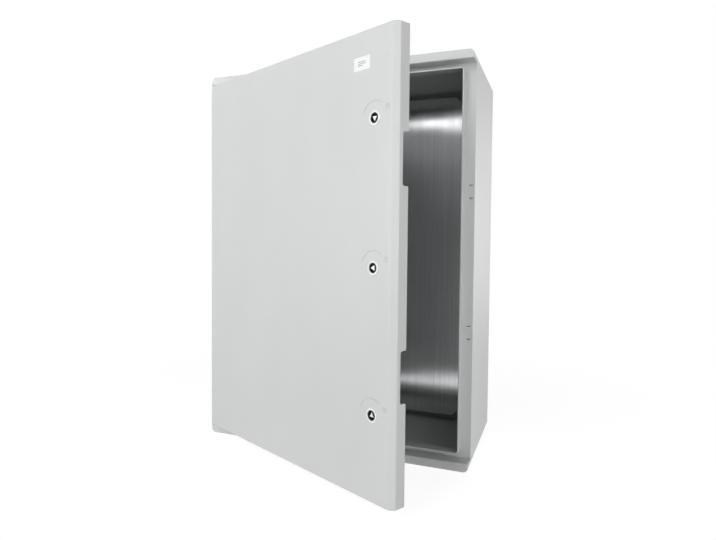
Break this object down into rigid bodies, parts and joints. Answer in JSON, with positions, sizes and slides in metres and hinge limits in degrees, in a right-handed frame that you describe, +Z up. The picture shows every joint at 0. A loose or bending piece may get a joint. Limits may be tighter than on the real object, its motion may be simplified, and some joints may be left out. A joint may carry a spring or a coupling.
{
  "type": "wall-mount electrical cabinet",
  "caption": "Wall-mount plastic electrical cabinet with a hinged door, quarter-turn locks, a door gasket and a steel mounting plate inside.",
  "frame": {"origin": "centre of the four wall holes, on the plane of the cabinet's back", "axes": "+X to the right seen from the front, +Z up, +Y into the wall, so the door faces -Y; the door stands 27.5 degrees open at rest, as pictured"},
  "size_m": [0.5036, 0.4721, 0.6998],
  "materials": {
    "body_plastic": "moulded light grey ABS, fine satin grain",
    "door_plastic": "moulded light grey ABS, smoother satin face",
    "galvanised": "galvanised steel sheet with a faint vertical rolling grain",
    "brass": "turned brass",
    "zinc_screws": "zinc-plated steel",
    "hinge_plastic": "moulded grey polyamide",
    "steel_pin": "drawn steel pin",
    "gasket_foam": "foamed polyurethane gasket",
    "label_film": "white polyester label",
    "lock_ring": "pale moulded polyamide",
    "seal_rubber": "flat rubber washer",
    "zinc_nut": "zinc-plated steel nut",
    "lock_rotor": "black moulded polyamide",
    "key_post": "zinc die casting, bright",
    "cam_steel": "zinc-plated steel stamping"
  },
  "bodies": {
    "cabinet": {"body_shell": "body_plastic", "mounting_plate": "galvanised", "plate_inserts": "brass", "plate_screws": "zinc_screws", "hinge_bracket_top": "hinge_plastic", "hinge_bracket_bottom": "hinge_plastic", "hinge_pin_top": "steel_pin", "hinge_pin_bottom": "steel_pin"},
    "door": {"door_panel": "door_plastic", "door_gasket": "gasket_foam", "blank_label": "label_film", "hinge_leaf_top": "hinge_plastic", "hinge_leaf_bottom": "hinge_plastic", "leaf_screws": "zinc_screws", "lock_housing_top": "lock_ring", "lock_seal_top": "seal_rubber", "lock_nut_top": "zinc_nut", "lock_housing_middle": "lock_ring", "lock_seal_middle": "seal_rubber", "lock_nut_middle": "zinc_nut", "lock_housing_bottom": "lock_ring", "lock_seal_bottom": "seal_rubber", "lock_nut_bottom": "zinc_nut"},
    "lock_top": {"lock_rotor_top": "lock_rotor", "lock_key_post_top": "key_post", "lock_cam_top": "cam_steel", "lock_cam_screw_top": "zinc_screws"},
    "lock_middle": {"lock_rotor_middle": "lock_rotor", "lock_key_post_middle": "key_post", "lock_cam_middle": "cam_steel", "lock_cam_screw_middle": "zinc_screws"},
    "lock_bottom": {"lock_rotor_bottom": "lock_rotor", "lock_key_post_bottom": "key_post", "lock_cam_bottom": "cam_steel", "lock_cam_screw_bottom": "zinc_screws"}
  },
  "joints": [
    {"name": "door_hinge", "type": "hinge", "parent": "cabinet", "child": "door", "pos_m": [-0.2435, -0.2305, 0], "axis": [0, 0, -1], "range_deg": [-27.5, 82.5]},
    {"name": "lock_top_turn", "type": "hinge", "parent": "door", "child": "lock_top", "pos_m": [0.14792, -0.45748, 0.2085], "axis": [0.4617, 0.887, 0], "range_deg": [0, 90]},
    {"name": "lock_middle_turn", "type": "hinge", "parent": "door", "child": "lock_middle", "pos_m": [0.14792, -0.45748, 0], "axis": [0.4617, 0.887, 0], "range_deg": [0, 90]},
    {"name": "lock_bottom_turn", "type": "hinge", "parent": "door", "child": "lock_bottom", "pos_m": [0.14792, -0.45748, -0.2085], "axis": [0.4617, 0.887, 0], "range_deg": [0, 90]}
  ]
}
